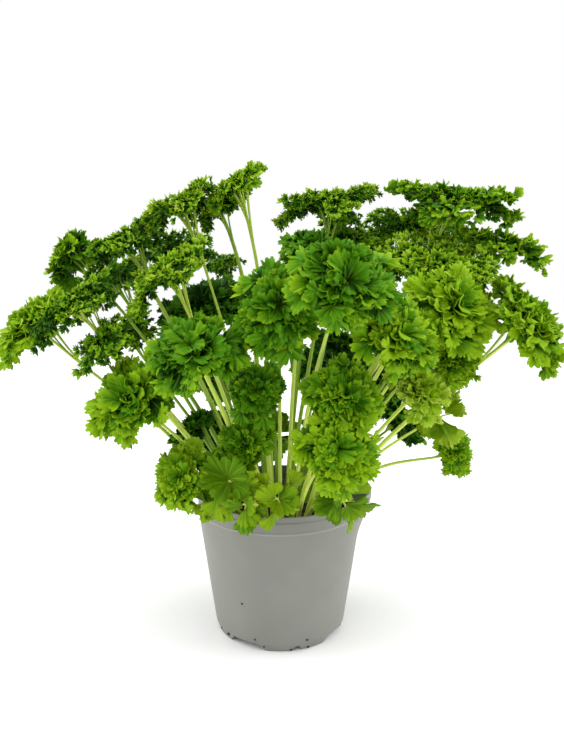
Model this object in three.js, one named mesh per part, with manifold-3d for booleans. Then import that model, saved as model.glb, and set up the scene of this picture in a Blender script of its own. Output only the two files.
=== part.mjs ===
// Curly parsley growing in its plastic nursery pot.
// Millimetres, +Z up. The table is z = 0 and the pot's axis is the Z axis.
// -Y is the front, +X the right. Bearings run anticlockwise from +X, so 270 is the front.

import Module from "manifold-3d";
import * as THREE from "three";
import { mergeVertices } from "three/addons/utils/BufferGeometryUtils.js";

const wasm = await Module();
wasm.setup();

// Pot: a thin moulded 13 cm pot on a notched foot
const rimRadius = 63;
const rimHeight = 107;
const bandBottom = 94;
const lipBottom = 102.7;
const bandInset = 0.6;
const lipInset = 1.1;
const footRadius = 48;
const chamferRadius = 50;
const chamferHeight = 6;
const wallThickness = 1.4;
const footWidth = 2.6;
const baseLift = 5.9;
const padRadius = 14;
const potSegments = 36;
const drainRing = 27;
const drainRadius = 3.4;
const drainCount = 6;

// Foot notches: wide sloped ones and narrow pointed ones, in turn round the foot
const notchCount = 4;
const wideNotch = { bearing: 238.5, half: 15, topHalf: 9.5, height: 5.5 };
const narrowNotch = { bearing: 285, half: 4.2, topHalf: 0.5, height: 3.8 };
const notchStart = 40;
const notchDepth = 16;

// The rim is pushed outward on the right, where the root ball presses it
const bulge = 9;
const bulgeBearing = 10;
const bulgeBottom = 72;
const bulgeSharpness = 7;

// Soil, a little below the rim
const soilTop = 89;
const soilClearance = 0.7;
const soilLump = 1.6;
const soilSegments = 20;
const soilRings = [20, 42];
const rootDepth = 8;
const holeClearance = 0.6;

// Stalks and blades
const stalkSides = 5;
const stalkSteps = 4;
const stalkRadius = { root: 1.75, head: 0.9 };
const rootSpread = 40;
const fanApex = 42;
const lowHead = 200;
const lowHeadRange = 75;
const riseAtRoot = { high: 0.9, low: 2.5 };
const rootHandle = { high: 0.35, low: 0.6 };
const headHandle = 0.3;
const bladeThickness = 1.2;
const bladeClearance = 0.5;
const flatCurl = 0.5;
const flatWave = 0.06;
const curlWave = 0.13;
const curlDroop = 0.36;
const fullLeaflets = 7;
const simpleLeaflets = 5;
const simpleSpan = 26.5;
const fitSteps = [1, 0.88, 0.76, 0.64, 0.52, 0.4];

// Each leaf: bearing of its head (degrees), reach from the axis, height, span from the middle
// of the head to its tips, nod (how far it faces away from straight up), the bearing towards
// which it nods, breadth across that bearing for a span of 1, and curl, which is 1 for a
// tightly curled head and small for a flat young leaf.
const leafPlan = [
  [270, 92, 254, 30, 75, 270, 1, 0.9],
  [288, 124, 269, 32, 70, 288, 1.16, 0.9],
  [308, 121, 236, 27, 65, 308, 1.2, 0.9],
  [331, 130, 252, 32, 60, 300, 1.25, 0.9],
  [293, 103, 198, 27, 60, 293, 1.05, 0.8],
  [289, 111, 167, 28, 72, 289, 1, 0.7],
  [297, 95, 128, 21, 80, 297, 1.15, 0.3],
  [269, 85, 129, 19, 80, 269, 1.05, 0.3],
  [254, 84, 124, 18, 80, 253, 1, 0.3],
  [246, 82, 138, 24, 66, 246, 1.1, 0.3],
  [222, 90, 136, 22, 60, 240, 1, 0.6],
  [249, 68, 161, 21, 50, 242, 1, 0.8],
  [258, 71, 197, 20, 75, 261, 1, 0.8],
  [237, 101, 228, 31, 45, 243, 1.15, 0.9],
  [212, 118, 192, 33, 58, 230, 1.1, 0.9],
  [322, 115, 199, 22, 50, 300, 1.1, 0.6],
  [353, 119, 170, 23, 62, 290, 1, 0.3],
  [359.5, 132, 136, 18, 70, 290, 0.85, 0.6],
  [9, 129, 325, 51, 4, 0, 0.9, 0.95],
  [41, 148, 306, 49, 10, 38, 1, 1],
  [0, 159, 292, 36, 12, 0, 0.8, 0.95],
  [346, 175, 239, 37, 50, 347, 1.15, 0.9],
  [344, 111, 279, 38, 28, 280, 1.35, 1],
  [47, 54, 324, 46, 8, 180, 0.8, 1],
  [51, 83, 295, 32, 30, 270, 1.2, 1],
  [323, 33, 287, 21, 40, 323, 1.1, 0.9],
  [163, 33, 334, 30, 34, 182, 0.8, 0.95],
  [172, 73, 320, 33, 30, 176, 1, 1],
  [170, 118, 295, 37, 30, 176, 1.05, 1],
  [208, 86, 274, 35, 34, 200, 1.1, 1],
  [166, 168, 281, 27, 64, 165, 0.9, 0.9],
  [188, 147, 251, 42, 32, 188, 1.05, 1],
  [176, 186, 233, 40, 42, 190, 1.05, 0.8],
  [201, 129, 226, 27, 40, 215, 1, 1],
  [117, 101, 275, 14, 40, 250, 1, 1],
  [147, 73, 244, 35, 30, 240, 1.1, 0.9],
  [155, 140, 221, 29, 30, 200, 1.2, 1],
  [127, 158, 286, 38, 22, 127, 1, 1],
  [80, 152, 268, 38, 24, 80, 1, 1],
  [62, 164, 284, 38, 22, 62, 1, 1],
  [38, 186, 250, 36, 30, 38, 1, 1],
  [142, 186, 262, 34, 30, 142, 1, 1],
  [112, 138, 170, 34, 50, 112, 1, 0.8],
  [72, 150, 178, 36, 50, 72, 1, 0.8],
  [48, 138, 172, 30, 52, 48, 1, 0.8],
  [93, 92, 124, 24, 72, 92, 1, 0.3],
  [146, 56, 319, 22, 40, 182, 1, 1],
  [339, 126, 214, 24, 62, 300, 1, 0.6],
  [232, 84, 119, 14, 75, 255, 1, 0.3],
  [174, 70, 148, 24, 55, 170, 1.1, 0.7],
  [22, 104, 152, 26, 55, 20, 1.1, 0.7],
  [125, 92, 132, 24, 60, 125, 1.1, 0.7],
  [62, 92, 134, 24, 60, 62, 1.1, 0.7],
  [57, 94, 203, 26, 50, 60, 1.1, 0.7],
].map(([bearing, reach, high, span, nod, towards, breadth, curl]) => (
  { bearing, reach, high, span, nod, towards, breadth, curl }
));

// Finishes
const potFinish = { color: 0x90918a, roughness: 0.55, metalness: 0 };
const soilFinish = { color: 0x2b2018, roughness: 0.95, metalness: 0 };
const curledLeafFinish = { color: 0x3f7a12, roughness: 0.5, metalness: 0 };
const flatLeafFinish = { color: 0x63951c, roughness: 0.5, metalness: 0 };

const up = new THREE.Vector3(0, 0, 1);
const radians = THREE.MathUtils.degToRad;

// A number from 0 to 1 that is always the same for the same pair of counters.
function jitter(first, second) {
  const wave = Math.sin(first * 12.9898 + second * 78.233) * 43758.5453;
  return wave - Math.floor(wave);
}

function onBearing(bearing, reach, high) {
  const angle = radians(bearing);
  return new THREE.Vector3(reach * Math.cos(angle), reach * Math.sin(angle), high);
}

// ---- Solids and meshes

function toSolid(geometry) {
  geometry.deleteAttribute("normal");
  geometry.deleteAttribute("uv");
  const merged = mergeVertices(geometry, 1e-4);
  const vertProperties = new Float32Array(merged.attributes.position.array);
  const triVerts = new Uint32Array(merged.index.array);
  return new wasm.Manifold(new wasm.Mesh({ numProp: 3, vertProperties, triVerts }));
}

function toMesh(solid, name, finish) {
  const { vertProperties, triVerts } = solid.getMesh();
  const geometry = new THREE.BufferGeometry();
  geometry.setAttribute("position", new THREE.BufferAttribute(vertProperties, 3));
  geometry.setIndex(new THREE.BufferAttribute(triVerts, 1));
  geometry.computeVertexNormals();
  const mesh = new THREE.Mesh(geometry, new THREE.MeshStandardMaterial(finish));
  mesh.name = name;
  return mesh;
}

// ---- Pot

function bulgeAt(bearing, high) {
  const side = Math.max(0, Math.cos(bearing - radians(bulgeBearing)));
  const rise = THREE.MathUtils.smoothstep(high, bulgeBottom, rimHeight);
  return bulge * rise * side ** bulgeSharpness;
}

// The wall's outer radius between the chamfer of the foot and the rim's band.
function wallRadius(high) {
  const share = (high - chamferHeight) / (bandBottom - chamferHeight);
  return THREE.MathUtils.lerp(chamferRadius, rimRadius - bandInset, share);
}

function potProfile() {
  const floorTop = baseLift + wallThickness;
  const lipRadius = rimRadius - lipInset;
  const bandRadius = rimRadius - bandInset;
  return [
    [0, 0],
    [padRadius, 0],
    [padRadius + 2, baseLift],
    [footRadius - footWidth - 1.5, baseLift],
    [footRadius - footWidth, 0],
    [footRadius, 0],
    [chamferRadius, chamferHeight],
    [wallRadius(bandBottom), bandBottom],
    [rimRadius, bandBottom + 0.8],
    [bandRadius, bandBottom + 2],
    [bandRadius, lipBottom],
    [lipRadius, lipBottom + 0.5],
    [lipRadius, rimHeight],
    [lipRadius - wallThickness, rimHeight],
    [wallRadius(bandBottom) - wallThickness, bandBottom],
    [wallRadius(floorTop) - wallThickness, floorTop],
    [padRadius + 2 - wallThickness, floorTop],
    [padRadius - wallThickness, wallThickness],
    [0, wallThickness],
  ].map(([x, z]) => new THREE.Vector2(x, z));
}

// A turned solid standing on +Z whose points are then moved by reshape.
function turned(profile, segments, reshape) {
  const geometry = new THREE.LatheGeometry(profile, segments);
  geometry.rotateX(Math.PI / 2);
  const place = geometry.attributes.position;
  const point = new THREE.Vector3();
  for (let i = 0; i < place.count; i += 1) {
    point.fromBufferAttribute(place, i);
    reshape(point);
    place.setXYZ(i, point.x, point.y, point.z);
  }
  return toSolid(geometry);
}

// A wedge lying outward through the foot, its sloping sides meeting the table at half.
function notchCutter({ bearing, half, topHalf, height }, turn) {
  const below = -1;
  const lowHalf = half + (below * (topHalf - half)) / height;
  const shape = new THREE.Shape([
    new THREE.Vector2(-lowHalf, below),
    new THREE.Vector2(lowHalf, below),
    new THREE.Vector2(topHalf, height),
    new THREE.Vector2(-topHalf, height),
  ]);
  const geometry = new THREE.ExtrudeGeometry(shape, { depth: notchDepth, bevelEnabled: false });
  const start = onBearing(bearing + turn, notchStart, 0);
  geometry.rotateX(Math.PI / 2);
  geometry.rotateZ(radians(bearing + turn + 90));
  geometry.translate(start.x, start.y, 0);
  return toSolid(geometry);
}

function drainCutter(index) {
  const centre = onBearing((360 * index) / drainCount, drainRing, baseLift + wallThickness / 2);
  const geometry = new THREE.CylinderGeometry(drainRadius, drainRadius, 3 * wallThickness, 8);
  geometry.rotateX(Math.PI / 2);
  geometry.translate(centre.x, centre.y, centre.z);
  return toSolid(geometry);
}

function makePot() {
  let pot = turned(potProfile(), potSegments, (point) => {
    const radius = Math.hypot(point.x, point.y);
    if (radius < padRadius) {
      return;
    }
    const bearing = Math.atan2(point.y, point.x);
    const grown = 1 + bulgeAt(bearing, point.z) / radius;
    point.x *= grown;
    point.y *= grown;
  });
  for (let i = 0; i < notchCount; i += 1) {
    const turn = (360 * i) / notchCount;
    pot = pot.subtract(notchCutter(wideNotch, turn));
    pot = pot.subtract(notchCutter(narrowNotch, turn));
  }
  for (let i = 0; i < drainCount; i += 1) {
    pot = pot.subtract(drainCutter(i));
  }
  return pot;
}

// ---- Stalks

function headPoint(leaf) {
  return onBearing(leaf.bearing, leaf.reach, leaf.high);
}

// The way that a leaf's upper side looks, leaning over by its nod.
function facing(leaf) {
  const nod = radians(leaf.nod);
  return onBearing(leaf.towards, Math.sin(nod), Math.cos(nod));
}

function isFlat(leaf) {
  return leaf.curl < flatCurl;
}

// Flat young leaves and small heads have fewer leaflets.
function leafletCount(leaf) {
  return isFlat(leaf) || leaf.span < simpleSpan ? simpleLeaflets : fullLeaflets;
}

// Stalks fan out from a point below the soil, and the outermost crowd up inside the rim.
function rootPoint(leaf) {
  const wide = (leaf.reach * (soilTop - fanApex)) / (leaf.high - fanApex);
  const reach = wide / (1 + (wide / rootSpread) ** 4) ** 0.25;
  return onBearing(leaf.bearing, reach, soilTop - rootDepth);
}

// A stalk leaves the soil steeply, the steeper the lower its head, and bends out to the head.
function stalkCurve(leaf) {
  const head = headPoint(leaf);
  const root = rootPoint(leaf);
  const length = head.distanceTo(root);
  const chord = head.clone().sub(root).normalize();
  const lowness = THREE.MathUtils.clamp((lowHead - leaf.high) / lowHeadRange, 0, 1);
  const rise = THREE.MathUtils.lerp(riseAtRoot.high, riseAtRoot.low, lowness);
  const handle = THREE.MathUtils.lerp(rootHandle.high, rootHandle.low, lowness);
  const leave = chord.clone().addScaledVector(up, rise).normalize();
  const arrive = chord.clone().add(facing(leaf)).normalize();
  return new THREE.CubicBezierCurve3(
    root,
    root.clone().addScaledVector(leave, length * handle),
    head.clone().addScaledVector(arrive, -length * headHandle),
    head,
  );
}

// A tube of rings along a curve, its radius going evenly from the first to the last.
function taperedTube(curve, radii, sides, steps) {
  const frames = curve.computeFrenetFrames(steps);
  const points = [curve.getPointAt(0), curve.getPointAt(1)];
  for (let step = 0; step <= steps; step += 1) {
    const centre = curve.getPointAt(step / steps);
    const radius = THREE.MathUtils.lerp(radii[0], radii[1], step / steps);
    for (let side = 0; side < sides; side += 1) {
      const angle = (2 * Math.PI * side) / sides;
      const rim = centre.clone().addScaledVector(frames.normals[step], radius * Math.cos(angle));
      points.push(rim.addScaledVector(frames.binormals[step], radius * Math.sin(angle)));
    }
  }
  const faces = [];
  const ringPoint = (step, side) => 2 + step * sides + (side % sides);
  for (let side = 0; side < sides; side += 1) {
    faces.push(0, ringPoint(0, side + 1), ringPoint(0, side));
    faces.push(1, ringPoint(steps, side), ringPoint(steps, side + 1));
    for (let step = 0; step < steps; step += 1) {
      faces.push(ringPoint(step, side), ringPoint(step, side + 1), ringPoint(step + 1, side + 1));
      faces.push(ringPoint(step, side), ringPoint(step + 1, side + 1), ringPoint(step + 1, side));
    }
  }
  return toSolid(new THREE.BufferGeometry().setFromPoints(points).setIndex(faces));
}

function makeStalk(leaf) {
  return taperedTube(stalkCurve(leaf), [stalkRadius.root, stalkRadius.head], stalkSides, stalkSteps);
}

// The hole that a stalk stands in, along the stalk's first stretch.
function stalkHole(leaf) {
  const curve = stalkCurve(leaf);
  const root = curve.getPointAt(0);
  const along = curve.getPointAt(1 / stalkSteps).sub(root).normalize();
  const bottom = root.clone().addScaledVector(along, -holeClearance);
  const top = root.clone().addScaledVector(along, rootDepth * 2);
  const radius = (stalkRadius.root + holeClearance) / Math.cos(Math.PI / stalkSides);
  return taperedTube(new THREE.LineCurve3(bottom, top), [radius, radius], stalkSides, 1);
}

// ---- Soil

function makeSoil(leaves) {
  const floor = baseLift + wallThickness + soilClearance;
  const radiusAt = (high) => wallRadius(high) - wallThickness - soilClearance;
  const profile = [
    new THREE.Vector2(0, floor),
    new THREE.Vector2(radiusAt(floor), floor),
    new THREE.Vector2(radiusAt(soilTop), soilTop),
    ...soilRings.toReversed().map((radius) => new THREE.Vector2(radius, soilTop)),
    new THREE.Vector2(0, soilTop),
  ];
  let soil = turned(profile, soilSegments, (point) => {
    const radius = Math.hypot(point.x, point.y);
    if (point.z > soilTop - 1 && radius < radiusAt(soilTop) - 1) {
      const bump = jitter(Math.round(point.x), Math.round(point.y));
      point.z += soilLump * bump;
    }
  });
  for (const leaf of leaves) {
    soil = soil.subtract(stalkHole(leaf));
  }
  return soil;
}

// ---- Blades

// One leaflet as places across its width (share of its sector) and along its length, going
// round from the cleft on one side to the cleft on the other: three lobes with two notches.
const leafletOutline = [
  { across: -0.42, along: 0.84, lift: 1 },
  { across: -0.2, along: 0.82, lift: -0.9 },
  { across: 0.02, along: 1, lift: 0.8 },
  { across: 0.22, along: 0.84, lift: -0.9 },
  { across: 0.42, along: 0.86, lift: 1 },
];
const cleftAlong = 0.34;
const ribAlong = 0.5;
const raisedPair = { length: 0.86, arch: -0.2 };
const leafletLength = { least: 0.9, spread: 0.14 };
const lobeSway = { least: 0.7, spread: 0.6 };
const ribLift = { most: 0.4, spread: 1 };

// A frill of leaflets cut nearly to the middle, the end one outward and the others in pairs.
// Every other pair is shorter and stands up between its drooping neighbours. A leaflet arches
// over its length, and its lobes wave up and down the more, the further out they are. The
// whole frill is drawn out sideways by its breadth.
function frill({ count, span, breadth, wave, droop, seed, thickness }) {
  const points = [new THREE.Vector3(0, 0, 0)];
  const sector = (2 * Math.PI) / count;
  for (let leaflet = 0; leaflet < count; leaflet += 1) {
    const pair = Math.min(leaflet, count - leaflet);
    const raised = pair % 2 === 1;
    const full = span * (leafletLength.least + leafletLength.spread * jitter(seed, leaflet));
    const length = raised ? full * raisedPair.length : full;
    const arch = raised ? droop * raisedPair.arch : droop;
    const addPoint = (across, lift, reach) => {
      const angle = sector * (leaflet + across);
      const share = reach / span;
      const high = span * (wave * lift * share - arch * share * share);
      const sideways = breadth * reach * Math.sin(angle);
      points.push(new THREE.Vector3(reach * Math.cos(angle), sideways, high));
    };
    addPoint(-0.5, 0, span * cleftAlong);
    for (const [index, { across, along, lift }] of leafletOutline.entries()) {
      const sway = lobeSway.least + lobeSway.spread * jitter(seed + index, leaflet + 7);
      addPoint(across, lift * sway, length * along);
    }
    const bow = ribLift.most - ribLift.spread * jitter(seed, leaflet + 3);
    addPoint(0, bow, length * ribAlong);
  }
  return sheet(points, leafletFaces(count), outerEdge(count), thickness);
}

// Triangles of one face: each leaflet is a fan round the middle of its rib.
function leafletFaces(count) {
  const faces = [];
  const stride = leafletOutline.length + 2;
  for (let leaflet = 0; leaflet < count; leaflet += 1) {
    const cleft = 1 + leaflet * stride;
    const rib = cleft + stride - 1;
    const nextCleft = 1 + ((leaflet + 1) % count) * stride;
    const round = [0];
    for (let i = 0; i < stride - 1; i += 1) {
      round.push(cleft + i);
    }
    round.push(nextCleft, 0);
    for (let i = 0; i + 1 < round.length; i += 1) {
      faces.push([rib, round[i], round[i + 1]]);
    }
  }
  return faces;
}

function outerEdge(count) {
  const stride = leafletOutline.length + 2;
  const edge = [];
  for (let leaflet = 0; leaflet < count; leaflet += 1) {
    for (let i = 0; i < stride - 1; i += 1) {
      edge.push(1 + leaflet * stride + i);
    }
  }
  return edge;
}

// A thin solid from one face: the same triangles above and below, walled along the edge.
function sheet(points, faces, edge, thickness) {
  const count = points.length;
  const raised = points.map((point) => point.clone().addScaledVector(up, thickness / 2));
  const lowered = points.map((point) => point.clone().addScaledVector(up, -thickness / 2));
  const index = [];
  for (const [a, b, c] of faces) {
    index.push(a, b, c, count + a, count + c, count + b);
  }
  edge.forEach((from, i) => {
    const to = edge[(i + 1) % edge.length];
    index.push(from, count + from, to, to, count + from, count + to);
  });
  return new THREE.BufferGeometry().setFromPoints([...raised, ...lowered]).setIndex(index);
}

// The head's own frame: x the way it nods, z the way it faces.
function headFrame(leaf) {
  const axis = facing(leaf);
  const side = new THREE.Vector3().crossVectors(up, onBearing(leaf.towards, 1, 0));
  const outward = new THREE.Vector3().crossVectors(side, axis);
  return new THREE.Matrix4().makeBasis(outward, side, axis).setPosition(headPoint(leaf));
}

function boxesMeet(first, second) {
  return [0, 1, 2].every((k) => first.min[k] < second.max[k] && second.min[k] < first.max[k]);
}

function isClear(solid, taken) {
  const box = solid.boundingBox();
  return taken.every((other) => !boxesMeet(box, other.box) || solid.intersect(other.solid).isEmpty());
}

// The largest size of a leaf's frill that stays clear of everything already standing.
function fittedFrill(leaf, seed, taken) {
  const frame = headFrame(leaf);
  const count = leafletCount(leaf);
  const wave = flatWave + curlWave * leaf.curl;
  const droop = curlDroop * leaf.curl;
  const margin = 2 * bladeClearance;
  for (const fit of fitSteps) {
    const size = { count, span: leaf.span * fit, breadth: leaf.breadth, wave, droop, seed };
    const room = frill({ ...size, span: size.span + margin, thickness: bladeThickness + margin });
    if (isClear(toSolid(room.applyMatrix4(frame)), taken)) {
      return toSolid(frill({ ...size, thickness: bladeThickness }).applyMatrix4(frame));
    }
  }
  return null;
}

// ---- Plant

function standing(owner, solid) {
  return { owner, solid, box: solid.boundingBox() };
}

function makeLeaves(leaves, pot) {
  const stalks = leaves.map((leaf, index) => standing(index, makeStalk(leaf)));
  const taken = [standing(-1, pot), ...stalks];
  return leaves.map((leaf, index) => {
    const blades = fittedFrill(leaf, index + 1, taken.filter(({ owner }) => owner !== index));
    if (!blades) {
      return stalks[index].solid;
    }
    taken.push(standing(index, blades));
    return stalks[index].solid.add(blades);
  });
}

const pot = makePot();
const leaves = makeLeaves(leafPlan, pot);

const plant = new THREE.Group();
plant.add(toMesh(pot, "pot", potFinish));
plant.add(toMesh(makeSoil(leafPlan), "soil", soilFinish));
leaves.forEach((leaf, index) => {
  const name = `leaf_${String(index + 1).padStart(2, "0")}`;
  const finish = isFlat(leafPlan[index]) ? flatLeafFinish : curledLeafFinish;
  plant.add(toMesh(leaf, name, finish));
});

export default plant;
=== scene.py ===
import math

import bpy
import numpy as np
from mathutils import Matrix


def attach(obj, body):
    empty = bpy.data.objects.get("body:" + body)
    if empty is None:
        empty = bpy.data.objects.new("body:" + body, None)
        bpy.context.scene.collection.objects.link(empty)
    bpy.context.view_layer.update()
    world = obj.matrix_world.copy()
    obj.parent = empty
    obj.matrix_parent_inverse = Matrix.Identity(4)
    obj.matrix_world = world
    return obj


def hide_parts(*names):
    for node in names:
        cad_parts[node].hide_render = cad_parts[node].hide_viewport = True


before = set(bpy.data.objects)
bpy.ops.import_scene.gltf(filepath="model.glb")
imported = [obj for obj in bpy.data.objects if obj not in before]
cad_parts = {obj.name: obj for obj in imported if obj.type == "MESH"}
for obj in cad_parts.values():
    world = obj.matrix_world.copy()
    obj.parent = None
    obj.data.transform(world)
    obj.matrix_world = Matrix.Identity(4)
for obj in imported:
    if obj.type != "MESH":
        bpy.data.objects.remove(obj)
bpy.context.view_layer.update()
mm = 0.001  # the plant is laid out in millimetres, and its meshes are in metres


def jitter(first, second):  # always the same number from 0 to 1 for the same two counters
    wave = np.sin(first * 12.9898 + second * 78.233) * 43758.5453
    return wave - np.floor(wave)


def mix(first, second, share):
    return first + (second - first) * share


def around(middle, spread, chance):  # a value near the middle, for a chance from 0 to 1
    return middle + spread * (chance - 0.5)


def ease(low, high, value):
    share = np.clip((value - low) / (high - low), 0, 1)
    return share * share * (3 - 2 * share)


def unit(vector):
    return vector / np.linalg.norm(vector)


def onBearing(bearing, reach, high):
    angle = math.radians(bearing)
    return np.array([reach * math.cos(angle), reach * math.sin(angle), high])


def turned(vector, axis, angle):  # the vector turned round a unit axis
    along = axis * np.dot(axis, vector) * (1 - math.cos(angle))
    return vector * math.cos(angle) + np.cross(axis, vector) * math.sin(angle) + along


def bezier(start, first, second, end, shares):
    share = shares[:, None]
    rest = 1 - share
    bent = 3 * rest ** 2 * share * first + 3 * rest * share ** 2 * second
    return rest ** 3 * start + bent + share ** 3 * end


def gridFaces(rows, columns, closed=False):  # quads of a grid of points, closed round its columns
    last = columns if closed else columns - 1
    row, column = np.meshgrid(np.arange(rows - 1), np.arange(last), indexing="ij")
    row = row.ravel()
    column = column.ravel()
    after = (column + 1) % columns
    corners = [row * columns + column, row * columns + after]
    corners += [(row + 1) * columns + after, (row + 1) * columns + column]
    return np.stack(corners, axis=1)


def joined(parts):  # several (points, quads, caps) as one
    start = 0
    points = []
    quads = []
    caps = []
    for partPoints, partQuads, partCaps in parts:
        points.append(partPoints.reshape(-1, 3))
        quads.append(partQuads + start)
        caps += [np.asarray(cap) + start for cap in partCaps]
        start += len(points[-1])
    return np.concatenate(points), np.concatenate(quads), caps


def buildMesh(name, points, quads, caps=(), stored=None):
    mesh = bpy.data.meshes.new(name)
    points = np.asarray(points, np.float32).reshape(-1, 3)
    mesh.vertices.add(len(points))
    mesh.vertices.foreach_set("co", points.ravel())
    sizes = np.concatenate([np.full(len(quads), 4), [len(cap) for cap in caps]]).astype(np.int32)
    corners = np.concatenate([np.ravel(quads), *caps]).astype(np.int32)
    mesh.loops.add(len(corners))
    mesh.loops.foreach_set("vertex_index", corners)
    mesh.polygons.add(len(sizes))
    mesh.polygons.foreach_set("loop_start", (np.cumsum(sizes) - sizes).astype(np.int32))
    mesh.polygons.foreach_set("use_smooth", np.ones(len(sizes), bool))
    for key, values in (stored or {}).items():
        layer = mesh.attributes.new(key, "FLOAT", "POINT")
        layer.data.foreach_set("value", np.asarray(values, np.float32).ravel())
    mesh.update()
    mesh.validate()
    made = bpy.data.objects.new(name, mesh)
    bpy.context.scene.collection.objects.link(made)
    return made


def settle(piece, slot, finish, *nodes):  # its finish, its body and the nodes that it stands for
    piece.data.materials.append(finish)
    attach(piece, "root")
    if nodes:
        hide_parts(*nodes)


class Wire:  # one output of a shader node, which can be written in sums
    def __init__(self, shader, socket):
        self.shader = shader
        self.socket = socket

    def maths(self, operation, first, second):
        return self.shader.node("Math", {"operation": operation}, {0: first, 1: second})

    def __add__(self, other):
        return self.maths("ADD", self, other)

    def __radd__(self, other):
        return self.maths("ADD", other, self)

    def __sub__(self, other):
        return self.maths("SUBTRACT", self, other)

    def __rsub__(self, other):
        return self.maths("SUBTRACT", other, self)

    def __mul__(self, other):
        return self.maths("MULTIPLY", self, other)

    def __rmul__(self, other):
        return self.maths("MULTIPLY", other, self)


class Shader:  # the nodes of a material or of the world
    def __init__(self, owner):
        owner.use_nodes = True
        self.owner = owner
        self.tree = owner.node_tree
        self.tree.nodes.clear()

    def node(self, kind, settings=None, inputs=None, output=0):
        made = self.tree.nodes.new("ShaderNode" + kind)
        for key, value in (settings or {}).items():
            setattr(made, key, value)
        for key, value in (inputs or {}).items():
            if isinstance(value, Wire):
                self.tree.links.new(value.socket, made.inputs[key])
            else:
                made.inputs[key].default_value = value
        return Wire(self, made.outputs[output]) if made.outputs else None

    def colours(self, share, first, second):  # sockets 6, 7 and output 2 are the ones for colours
        return self.node("Mix", {"data_type": "RGBA"}, {0: share, 6: first, 7: second}, 2)

    def stored(self, name):  # a number that the mesh keeps for each point
        return self.node("Attribute", {"attribute_name": name}, output=2)

    def noise(self, scale, detail):  # in the object's own metres
        place = self.node("TexCoord", output=3)
        return self.node("TexNoise", None, {"Vector": place, "Scale": scale, "Detail": detail})

    def band(self, value, low, high):  # 0 below low, 1 above high
        settings = {"interpolation_type": "SMOOTHSTEP"}
        return self.node("MapRange", settings, {0: value, 1: low, 2: high})

    def bump(self, height, strength, distance):
        inputs = {"Height": height, "Strength": strength, "Distance": distance}
        return self.node("Bump", None, inputs)

    def show(self, surface, target="OutputMaterial"):
        self.node(target, None, {"Surface": surface})
        return self.owner


stage = {
    # in metres, degrees and watts; lens and sensor in mm
    "cameraPlace": (0.0015, -0.536, 0.289),
    "cameraPitch": -10.0,
    "lens": 35.0,
    "sensorWidth": 36.0,
    "clipStart": 0.01,
    "white": (1, 1, 1, 1),
    "skySeen": 1.0,  # how bright the camera sees the surroundings
    "skyOverhead": 1.5,  # and how bright they light the plant, from above
    "skyLow": 0.25,  # and from the horizon down
    "floor": (0.93, 0.93, 0.93, 1),
    "floorRoughness": 0.8,
    "floorWidth": 8.0,
    "floorDrop": 0.2,  # in mm, so that it isn't level with the foot of the pot
    "softboxAim": (0, 0, 0.2),
    "softboxes": {
        # place, width, power
        "left": ((-1.3, 0.1, 0.7), 1.4, 15.0),
        "right": ((1.3, 0.1, 0.7), 1.4, 15.0),
        "top": ((0.0, 0.1, 1.8), 1.8, 12.0),
        "front": ((-0.5, -1.6, 1.1), 1.2, 3.0),
    },
}


def makeCamera():
    data = bpy.data.cameras.new("camera")
    data.lens = stage["lens"]
    data.sensor_width = stage["sensorWidth"]
    data.clip_start = stage["clipStart"]
    camera = bpy.data.objects.new("camera", data)
    camera.location = stage["cameraPlace"]
    camera.rotation_euler = (math.radians(90 + stage["cameraPitch"]), 0, 0)
    bpy.context.scene.collection.objects.link(camera)
    bpy.context.scene.camera = camera


def makeSoftbox(name, place, width, power):
    data = bpy.data.lights.new(name, "AREA")
    data.size = width
    data.energy = power
    light = bpy.data.objects.new(name, data)
    light.location = place
    aim = np.array(stage["softboxAim"]) - np.array(place)
    flat = math.hypot(aim[0], aim[1])
    light.rotation_euler = (math.atan2(flat, -aim[2]), 0, math.atan2(-aim[0], aim[1]))
    bpy.context.scene.collection.objects.link(light)


def makeSky():  # white behind the plant; its light comes mostly from overhead
    sky = Shader(bpy.data.worlds.new("studio"))
    seen = sky.node("Background", None, {0: stage["white"], 1: stage["skySeen"]})
    rise = sky.node("SeparateXYZ", None, {0: sky.node("TexCoord")}, 2)
    strength = sky.node("MapRange", None, {0: rise, 3: stage["skyLow"], 4: stage["skyOverhead"]})
    fill = sky.node("Background", None, {0: stage["white"], 1: strength})
    cameraRay = sky.node("LightPath")
    blend = sky.node("MixShader", None, {0: cameraRay, 1: fill, 2: seen})
    bpy.context.scene.world = sky.show(blend, "OutputWorld")


def makeFloor():
    half = stage["floorWidth"] / 2
    corners = [(-half, -half, 0), (half, -half, 0), (half, half, 0), (-half, half, 0)]
    floor = buildMesh("floor", corners, np.array([[0, 1, 2, 3]]))
    floor.location.z = -stage["floorDrop"] * mm
    finish = Shader(bpy.data.materials.new("paleFloor"))
    inputs = {"Base Color": stage["floor"], "Roughness": stage["floorRoughness"]}
    floor.data.materials.append(finish.show(finish.node("BsdfPrincipled", None, inputs)))


makeCamera()
bpy.context.scene.view_settings.view_transform = "Standard"
makeSky()
for name, (place, width, power) in stage["softboxes"].items():
    makeSoftbox(name, place, width, power)
makeFloor()
print("stage: camera, softboxes and a pale floor")


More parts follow.
